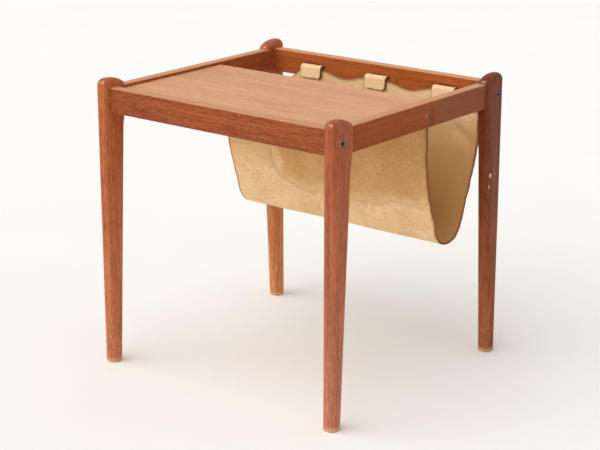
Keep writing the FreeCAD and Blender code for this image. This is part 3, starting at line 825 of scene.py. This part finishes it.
def make_sling(settings, material):
    """The hide: its middle line carried across the width, with dipped top edges and soft folds."""
    low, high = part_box("sling")
    line = sling_line(settings)
    run = run_along(line)
    total = run[-1]
    width = high.x - low.x
    middle = (low.x + high.x) / 2
    across = spaced(width, settings.spacing, SLING_INSETS)
    along = spaced(total, settings.spacing, SLING_INSETS)
    grid, flat, edge, stained = (np.zeros((len(across), len(along), *shape)) for shape in ((3,), (2,), (), ()))
    for i, u in enumerate(across):
        x = low.x + u
        front_dip = edge_dip(x, settings, settings.front_droop)
        back_dip = edge_dip(x, settings, settings.back_droop)
        lift = settings.belly * ((x - middle) / (width / 2)) ** 2
        places = front_dip + along * (total - front_dip - back_dip) / total
        y = np.interp(places, run, line[:, 0])
        z = np.interp(places, run, line[:, 1])
        slope = np.gradient(np.stack([y, z], axis=1), places, axis=0)
        slope /= np.linalg.norm(slope, axis=1, keepdims=True)
        ends = math.exp(-u / TRIM_REACH) - math.exp((u - width) / TRIM_REACH)
        for j, v in enumerate(places):
            trim = TRIM * ends * (TRIM_MEAN + noise.fractal(Vector((ends, v * TRIM_WAVES, 6.0)), *TRIM_FRACTAL))
            depth = fold_depth(x, z[j], v, total, low, high)
            grid[i, j] = (x + trim, y[j] - slope[j, 1] * depth, z[j] + slope[j, 0] * depth + lift)
            flat[i, j] = (u, v)
            stained[i, j] = stain_and_shade_amount(x, z[j], v, total)
        edge[i] = edge_amount(u, along, width, total, SLING_BORDER)
    piece = thick_sheet("suede_sling", grid, flat, edge, stained, settings.thickness, material)
    return piece, total, sheet_area(grid)


def sheet_area(grid):
    """Area of a grid's middle surface."""
    a = grid[1:, 1:] - grid[:-1, :-1]
    b = grid[1:, :-1] - grid[:-1, 1:]
    return float(np.linalg.norm(np.cross(a, b), axis=2).sum() / 2)


# Tabs

TAB_INSETS = {"along": (0.0, 0.0005, 0.0012, 0.0022, 0.0035, 0.0050), "across": (0.0, 0.0005, 0.0012)}
TAB_STEPS = {"line": 0.0006, "along": 0.0014, "across": 0.0025}
# Width of a strap's dark border, and of the painted shade where it comes out of the slot
TAB_BORDER, TAB_SLOT_SHADE = 0.0015, 0.0009
# Frayed sides and end of the top flap: depth and waves to a metre
FRAYED_SIDE, FRAYED_END = (0.0012, 90), (0.0022, 60)
# Curl of the top flap: everywhere, where it sways and at its sides, and the waves to a metre of the sway
CURL, CURL_SWAY, CURL_SIDES, CURL_WAVES = 0.0009, 0.0011, 0.0008, (30, 40)


def tab_line(settings, face_y, facing, slot_z, hide):
    """Middle line of a strap: up its under flap, through the slot, round the peg, back out and down its top flap."""
    half = settings.thickness / 2
    pitch = settings.thickness + settings.gap
    layer = pitch / 2
    loop = settings.peg / 2 + half
    tail_y = face_y + facing * (settings.seat + hide + half)
    flap_y = tail_y + facing * pitch
    exit_y = face_y - facing * settings.slot_depth
    spread_y = exit_y - facing * settings.spread
    end_y = spread_y - facing * (settings.straight + loop)
    end_z = slot_z - settings.cover
    corners = [
        (tail_y, end_z),
        (tail_y, slot_z - layer),
        (exit_y, slot_z - layer),
        (spread_y, slot_z - loop),
        (end_y, slot_z - loop),
        (end_y, slot_z + loop),
        (spread_y, slot_z + loop),
        (exit_y, slot_z + layer),
        (flap_y, slot_z + layer),
        (flap_y, end_z),
    ]
    ease = settings.spread / 2
    bends = (settings.entry, ease, ease, loop, loop, ease, ease, settings.entry + pitch)
    return bent_line(corners, bends, TAB_STEPS["line"])


def make_tab(settings, row, side, hide, material, seed):
    """One strap, its flaps with rounded lower corners and the top flap a little curled."""
    node = "sling_tab_" + row + "_" + side
    low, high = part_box(node)
    peg_low, peg_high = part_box("sling_peg_" + row + "_" + side)
    slot_z = (peg_low.z + peg_high.z) / 2
    facing = 1 if row == "front" else -1
    face_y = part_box("cross_rail")[1].y if row == "front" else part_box("back_apron")[0].y
    line = tab_line(settings, face_y, facing, slot_z, hide)
    run = run_along(line)
    total = run[-1]
    along = spaced(total, TAB_STEPS["along"], TAB_INSETS["along"])
    across = spaced(settings.width, TAB_STEPS["across"], TAB_INSETS["across"])
    middle = (low.x + high.x) / 2
    y = np.interp(along, run, line[:, 0])
    z = np.interp(along, run, line[:, 1])
    grid, flat, edge = (np.zeros((len(across), len(along), *shape)) for shape in ((3,), (2,), ()))
    fray, side_waves = FRAYED_SIDE
    sag, end_waves = FRAYED_END
    for j, v in enumerate(along):
        near = min(v, total - v)
        inset = settings.corner - near
        narrow = settings.corner - math.sqrt(settings.corner ** 2 - inset ** 2) if inset > 0 else 0.0
        shrink = 1 - 2 * narrow / settings.width
        down = max(v - (total - settings.cover), 0.0) / settings.cover
        for i, u in enumerate(across):
            x = (u - settings.width / 2) * shrink
            x += down * fray * noise.noise(Vector((seed, v * side_waves, math.copysign(9.0, x))))
            sway = noise.noise(Vector((seed, x * CURL_WAVES[0], v * CURL_WAVES[1])))
            curl = down ** 2 * (CURL + CURL_SWAY * abs(sway) + CURL_SIDES * (2 * x / settings.width) ** 2)
            drop = down * sag * noise.noise(Vector((seed + 5.0, x * end_waves, 0.0)))
            grid[i, j] = (middle + x, y[j] + facing * curl, z[j] + drop)
            flat[i, j] = (u, v)
        # Painted shade where the top flap comes out of the slot, laid on through the edge value
        slot_shade = math.exp(-((y[j] - face_y) / TAB_SLOT_SHADE) ** 2) if v > total / 2 else 0.0
        edge[:, j] = np.maximum(edge_amount(across, v, settings.width, total, TAB_BORDER), slot_shade)
    plain = np.zeros_like(edge)
    piece = thick_sheet("suede_tab_" + row + "_" + side, grid, flat, edge, plain, settings.thickness, material)
    return seated(piece, [node])


# Bolts, screws and pegs by Geometry Nodes

JOIN = 1e-6
SLOT_LENGTH = 0.78
BOLT_REACH = 0.035
FASTENER_LENGTHS = ("Head", "Head height", "Recess", "Recess depth", "Shank", "Shank length", "Chamfer")


class ShapeTree(Graph):
    """A Geometry Nodes tree with named lengths and a number of sides, whose shape is set on points and realised."""

    def __init__(self, name, lengths):
        super().__init__(bpy.data.node_groups.new(name, "GeometryNodeTree"))
        interface = self.tree.interface
        interface.new_socket("Geometry", in_out="INPUT", socket_type="NodeSocketGeometry")
        kinds = {**{key: "NodeSocketFloat" for key in lengths}, "Sides": "NodeSocketInt"}
        self.identifiers = {
            key: interface.new_socket(key, in_out="INPUT", socket_type=kind).identifier for key, kind in kinds.items()}
        interface.new_socket("Geometry", in_out="OUTPUT", socket_type="NodeSocketGeometry")
        entry = self.tree.nodes.new("NodeGroupInput")
        self.points, *self.lengths, self.sides = (Wire(self, entry.outputs[key]) for key in ("Geometry", *kinds))

    def raised(self, geometry, height):
        """Geometry moved up."""
        shift = self.node("ShaderNodeCombineXYZ", {"Z": height})
        return self.node("GeometryNodeTransform", {"Geometry": geometry, "Translation": shift})

    def turned(self, profile):
        """Open round walls through the (radius, height) pairs of a profile."""
        walls = []
        for (low_radius, low), (high_radius, high) in zip(profile, profile[1:]):
            sizes = {"Radius Bottom": low_radius, "Radius Top": high_radius, "Depth": high - low}
            wall = self.node("GeometryNodeMeshCone", {"Vertices": self.sides, **sizes}, fill_type="NONE")
            walls.append(self.raised(wall, low))
        return walls

    def disc(self, radius, height):
        """Flat round cap."""
        cap = self.node("GeometryNodeMeshCircle", {"Vertices": self.sides, "Radius": radius}, fill_type="NGON")
        return self.raised(cap, height)

    def close(self, parts, rotation, material):
        """Weld the parts, set them on the points with a rotation, realise them and end the tree."""
        whole = self.node("GeometryNodeJoinGeometry", {"Geometry": parts})
        whole = self.node("GeometryNodeMergeByDistance", {"Geometry": whole, "Distance": JOIN})
        sockets = {"Points": self.points, "Instance": whole, "Rotation": rotation}
        placed = self.node("GeometryNodeInstanceOnPoints", sockets)
        real = self.node("GeometryNodeRealizeInstances", {"Geometry": placed})
        dressed = self.node("GeometryNodeSetMaterial", {"Geometry": real, "Material": material})
        self.node("NodeGroupOutput", {"Geometry": dressed})


def fastener_tree(name, material, slotted, rotation):
    """Screw or bolt along +Z with its head's face on the point: a chamfered head, its recess and a shank."""
    tree = ShapeTree(name, FASTENER_LENGTHS)
    head, head_height, recess_width, recess_depth, shank, shank_length, chamfer = tree.lengths
    radius, core = head * 0.5, shank * 0.5
    rim = radius - chamfer
    seat = -head_height
    tip = seat - shank_length
    if slotted:
        sizes = {"Width": head * SLOT_LENGTH, "Height": recess_width}
        recess = tree.node("GeometryNodeCurvePrimitiveQuadrilateral", sizes)
    else:
        corner = recess_width * (1 / math.sqrt(3))
        recess = tree.node("GeometryNodeCurvePrimitiveCircle", {"Resolution": 6, "Radius": corner})
    outline = tree.node("GeometryNodeCurvePrimitiveCircle", {"Resolution": tree.sides, "Radius": rim})
    both = tree.node("GeometryNodeJoinGeometry", {"Geometry": [outline, recess]})
    face = tree.node("GeometryNodeFillCurve", {"Curve": both})
    floor = tree.raised(tree.node("GeometryNodeFillCurve", {"Curve": recess}), -recess_depth)
    lines = tree.node("GeometryNodeCurveToMesh", {"Curve": recess})
    downward = tree.node("ShaderNodeCombineXYZ", {"Z": -1.0})
    sockets = {"Mesh": lines, "Offset": downward, "Offset Scale": recess_depth}
    wall = tree.node("GeometryNodeExtrudeMesh", sockets, mode="EDGES")
    hollow = tree.node("GeometryNodeJoinGeometry", {"Geometry": [floor, wall]})
    # The recess value marks where painted shade goes
    sockets = {"Geometry": hollow, "Name": "recess", "Value": 1.0}
    hollow = tree.node("GeometryNodeStoreNamedAttribute", sockets, data_type="FLOAT", domain="FACE")
    walls = tree.turned([(core, tip), (core, seat), (radius, seat), (radius, -chamfer), (rim, 0.0)])
    tree.close([face, hollow, *walls, tree.disc(core, tip)], rotation(tree), material)
    return tree


def peg_tree(name, material):
    """Peg along X, centred on the point, with chamfered ends."""
    tree = ShapeTree(name, ("Diameter", "Length", "Chamfer"))
    diameter, span, chamfer = tree.lengths
    radius, end = diameter * 0.5, span * 0.5
    tip, shoulder = radius - chamfer, end - chamfer
    walls = tree.turned([(tip, -end), (radius, -shoulder), (radius, shoulder), (tip, end)])
    caps = [tree.disc(tip, height) for height in (-end, end)]
    tree.close(walls + caps, (0.0, math.pi / 2, 0.0), material)
    return tree


def outward_turn(tree):
    """Rotation that turns +Z to the nearer side of the table, -X or +X."""
    x = tree.part(tree.node("GeometryNodeInputPosition"), "X")
    turn = (x < 0.0) * -math.pi + math.pi / 2
    return tree.node("ShaderNodeCombineXYZ", {"Y": turn})


def downward_turn(tree):
    """Rotation that turns +Z down."""
    return tree.node("ShaderNodeCombineXYZ", {"X": math.pi})


def fastener_inputs(sizes, *lengths):
    """Values for a fastener's tree: its lengths but for the chamfer, which all share."""
    return {**dict(zip(FASTENER_LENGTHS, (*lengths, sizes.chamfer))), "Sides": sizes.sides}


def set_on_points(name, points, tree, inputs, material):
    """Plain mesh of a tree's shape on points, with outward faces and sharp edges kept."""
    mesh = bpy.data.meshes.new(name)
    mesh.from_pydata(points, [], [])
    piece = new_piece(name, mesh, material)
    modifier = piece.modifiers.new("Shape", "NODES")
    modifier.node_group = tree.tree
    for key, value in inputs.items():
        modifier[tree.identifiers[key]] = value
    made = bpy.data.meshes.new_from_object(piece.evaluated_get(bpy.context.evaluated_depsgraph_get()))
    piece.modifiers.remove(modifier)
    face_outward(made, keep_sharp=True)
    piece.data = made
    bpy.data.meshes.remove(mesh)
    return piece


# Operators

BEECH = ((0.74, 0.55, 0.36), (0.60, 0.41, 0.24))
CHIPS = ((0.62, 0.46, 0.30), (0.36, 0.24, 0.14))
FLOOR_MOTTLE = 1.015


class TABLE_OT_frame(Operator):
    """Dress the legs, rails and aprons in oiled teak"""

    bl_idname = "side_table.frame"
    bl_label = "Teak Frame"

    def execute(self, context):
        teak_settings = context.scene.table_teak
        for node, (grain, tone, figure, dashes, marks, foot_bounce_tint) in BOARDS.items():
            light, dark = (
                tuple(value * share for value, share in zip(base, tone))
                for base in (teak_settings.light, teak_settings.dark))
            wood = teak("teak_" + node, teak_settings, grain, light, dark, figure, dashes, marks, foot_bounce_tint)
            shaded_copy(node, wood)
        return {"FINISHED"}


class TABLE_OT_half_top(Operator):
    """Dress the half top: veneers, rear lipping and core"""

    bl_idname = "side_table.half_top"
    bl_label = "Half Top"

    def execute(self, context):
        settings = context.scene.table_teak
        veneer = teak(
            "teak_veneer", settings, "X", settings.veneer_light, settings.veneer_dark,
            figure=0.8, dashes=0.45, marks=PANEL_MARKS)
        lipping = teak("teak_lipping", settings, "X", settings.light, settings.dark)
        board = plain_wood("particle_board", *CHIPS, scale=420.0, roughness=0.75)
        shaded_copy("panel_top_veneer", veneer, round_over=0.0004)
        shaded_copy("panel_lower_veneer", veneer)
        shaded_copy("panel_rear_lipping", lipping, round_over=0.0003)
        shaded_copy("panel_core", board)
        return {"FINISHED"}


class TABLE_OT_sling(Operator):
    """Hang the suede sling from its tabs"""

    bl_idname = "side_table.sling"
    bl_label = "Suede Sling"

    def execute(self, context):
        hide = context.scene.table_sling
        straps = context.scene.table_tabs
        strap_skin = suede("suede_strap", straps.face, hide, seed=3.7)
        tabs = []
        for row in ROWS:
            for side in SIDES:
                seed = 2.3 * len(tabs) + 1.0
                tabs.append(make_tab(straps, row, side, hide.thickness, strap_skin, seed))
        skin = suede("suede_hide", hide.outside, hide, seed=0.0)
        sling, total, area = make_sling(hide, skin)
        seated(sling, ["sling"])
        return {"FINISHED"}


class TABLE_OT_pegs(Operator):
    """Put the pegs through the loops of the tabs"""

    bl_idname = "side_table.pegs"
    bl_label = "Pegs"

    def execute(self, context):
        sizes = context.scene.table_fasteners
        settings = context.scene.table_teak
        wood = teak("teak_peg", settings, "X", settings.light, settings.dark)
        tree = peg_tree("Peg", wood)
        for row in ROWS:
            nodes = ["sling_peg_" + row + "_" + side for side in SIDES]
            boxes = [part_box(node) for node in nodes]
            size = boxes[0][1] - boxes[0][0]
            inputs = {"Diameter": size.z, "Length": size.x, "Chamfer": sizes.chamfer, "Sides": sizes.sides}
            points = [(low + high) / 2 for low, high in boxes]
            pegs = set_on_points("teak_pegs_" + row, points, tree, inputs, wood)
            seated(pegs, nodes)
        return {"FINISHED"}


class TABLE_OT_bolts(Operator):
    """Set the socket-head bolts in the legs"""

    bl_idname = "side_table.bolts"
    bl_label = "Bolts"

    def execute(self, context):
        sizes = context.scene.table_fasteners
        metal = steel("zinc_bolt", sizes)
        tree = fastener_tree("Socket bolt", metal, False, outward_turn)
        low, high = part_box("frame_bolts")
        y = high.y - sizes.bolt_head / 2
        z = (low.z + high.z) / 2
        points = [(x, side * y, z) for x in (low.x, high.x) for side in (-1, 1)]
        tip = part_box("leg_back_right")[0].x - BOLT_REACH
        inputs = fastener_inputs(
            sizes, sizes.bolt_head, sizes.bolt_height, sizes.bolt_flats, sizes.bolt_socket, sizes.bolt_shank,
            high.x - sizes.bolt_height - tip)
        bolts = set_on_points("socket_bolts", points, tree, inputs, metal)
        seated(bolts, ["frame_bolts"])
        return {"FINISHED"}


class TABLE_OT_fixings(Operator):
    """Finish what holds the table together out of sight: cleats, screws, dowels and nuts"""

    bl_idname = "side_table.fixings"
    bl_label = "Hidden Fixings"

    def execute(self, context):
        sizes = context.scene.table_fasteners
        beech = plain_wood("raw_beech", *BEECH, scale=(40.0, 260.0, 260.0), roughness=0.6)
        beech_side = plain_wood("raw_beech_side", *BEECH, scale=(260.0, 40.0, 260.0), roughness=0.6)
        metal = steel("plain_steel", sizes)
        shaded_copy("panel_cleat_front", beech, round_over=0.0005)
        for side in ("left", "right"):
            shaded_copy("panel_cleat_" + side, beech_side, round_over=0.0005)
        for node in ("apron_dowels", "cross_rail_dowels"):
            shaded_copy(node, beech)
        shaded_copy("barrel_nuts", metal)
        self.set_screws(sizes, metal)
        return {"FINISHED"}

    def set_screws(self, sizes, metal):
        """Slotted screws in place of the plain ones, at the same points."""
        whole = bmesh.new()
        whole.from_mesh(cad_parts["panel_screws"].data)
        low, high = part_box("panel_screws")
        tips = [vertex.co for vertex in whole.verts if high.z - vertex.co.z < JOIN]
        points = []
        for tip in tips:
            group = [other for other in tips if (other - tip).length < sizes.screw_head]
            point = sum(group, Vector()) / len(group)
            point.z = low.z
            if all((point - other).length > sizes.screw_head for other in points):
                points.append(point)
        whole.free()
        inputs = fastener_inputs(
            sizes, sizes.screw_head, sizes.screw_height, sizes.screw_slot, sizes.screw_height / 2, sizes.screw_shank,
            high.z - low.z - sizes.screw_height)
        tree = fastener_tree("Slotted screw", metal, True, downward_turn)
        screws = set_on_points("slotted_screws", points, tree, inputs, metal)
        seated(screws, ["panel_screws"])


class TABLE_OT_stage(Operator):
    """Set up the floor, the light and the camera"""

    bl_idname = "side_table.stage"
    bl_label = "Stage"

    def execute(self, context):
        settings = context.scene.table_stage
        scene = context.scene
        scene.view_settings.view_transform = "Standard"
        self.lay_floor(settings)
        self.light(scene, settings)
        camera = bpy.data.objects.new("camera", bpy.data.cameras.new("camera"))
        camera.location = settings.camera
        camera.rotation_euler = (math.pi / 2 - settings.pitch, 0.0, settings.turn)
        camera.data.sensor_width = 36.0
        camera.data.lens = settings.lens
        camera.data.clip_end = 60.0
        scene.collection.objects.link(camera)
        scene.camera = camera
        return {"FINISHED"}

    def lay_floor(self, settings):
        """Round pale floor."""
        shape = bmesh.new()
        bmesh.ops.create_circle(shape, cap_ends=True, radius=settings.floor_radius, segments=96)
        mesh = bpy.data.meshes.new("floor")
        shape.to_mesh(mesh)
        shape.free()
        finish = Finish("pale_floor")
        mottle = finish.fade(finish.cloud(finish.place(), scale=3.0, detail=3.0), low=0.3, high=0.7)
        paler = tuple(value * FLOOR_MOTTLE for value in settings.floor)
        tint = finish.mix(mottle, settings.floor, paler)
        finish.surface(Base_Color=tint, Roughness=mottle * 0.1 + 0.7, Specular_IOR_Level=0.0)
        floor = new_piece("floor", mesh, finish.material)

    def light(self, scene, settings):
        """Even light from all sides, a soft key from the front left with a glint, and a pale backdrop."""
        world = bpy.data.worlds.new("studio")
        world.use_nodes = True
        world.node_tree.nodes.clear()
        graph = Graph(world.node_tree)
        shown = graph.node("ShaderNodeLightPath", output="Is Camera Ray")
        even = graph.node("ShaderNodeBackground", {"Color": (1.0, 1.0, 1.0), "Strength": settings.sky})
        drop = graph.node("ShaderNodeBackground", {"Color": settings.floor, "Strength": 1.0})
        both = graph.node("ShaderNodeMixShader", {0: shown, 1: even, 2: drop})
        graph.node("ShaderNodeOutputWorld", {"Surface": both})
        scene.world = world
        self.lamp(scene, "key", settings.sun, settings.sun_angle, settings.sun_from)
        glint = self.lamp(scene, "glint", settings.glint, settings.glint_angle, settings.sun_from)
        glint.visible_diffuse = False

    def lamp(self, scene, name, energy, angle, source):
        """Distant lamp of that width."""
        lamp = bpy.data.objects.new(name, bpy.data.lights.new(name, "SUN"))
        lamp.data.energy = energy
        lamp.data.angle = angle
        lamp.rotation_euler = Vector(source).to_track_quat("Z", "Y").to_euler()
        scene.collection.objects.link(lamp)
        return lamp


class TABLE_PT_pieces(Panel):
    """Lists the steps that dress the table"""

    bl_idname = "TABLE_PT_pieces"
    bl_label = "Side Table"
    bl_space_type = "VIEW_3D"
    bl_region_type = "UI"
    bl_category = "Side Table"

    def draw(self, context):
        for operator in OPERATORS:
            self.layout.operator(operator.bl_idname)


SETTINGS = {
    "table_teak": TeakSettings,
    "table_sling": SlingSettings,
    "table_tabs": TabSettings,
    "table_fasteners": FastenerSettings,
    "table_stage": StageSettings,
}
OPERATORS = (
    TABLE_OT_frame,
    TABLE_OT_half_top,
    TABLE_OT_sling,
    TABLE_OT_pegs,
    TABLE_OT_bolts,
    TABLE_OT_fixings,
    TABLE_OT_stage,
)


def register():
    """Register the settings, the operators and the panel."""
    for key, group in SETTINGS.items():
        bpy.utils.register_class(group)
        setattr(bpy.types.Scene, key, PointerProperty(type=group))
    for operator in OPERATORS:
        bpy.utils.register_class(operator)
    bpy.utils.register_class(TABLE_PT_pieces)


def unregister():
    """Undo register."""
    bpy.utils.unregister_class(TABLE_PT_pieces)
    for operator in reversed(OPERATORS):
        bpy.utils.unregister_class(operator)
    for key, group in reversed(SETTINGS.items()):
        delattr(bpy.types.Scene, key)
        bpy.utils.unregister_class(group)


def main():
    """Dress the table."""
    register()
    bpy.ops.side_table.frame()
    bpy.ops.side_table.half_top()
    bpy.ops.side_table.sling()
    bpy.ops.side_table.pegs()
    bpy.ops.side_table.bolts()
    bpy.ops.side_table.fixings()
    bpy.ops.side_table.stage()


if __name__ == "__main__":
    main()
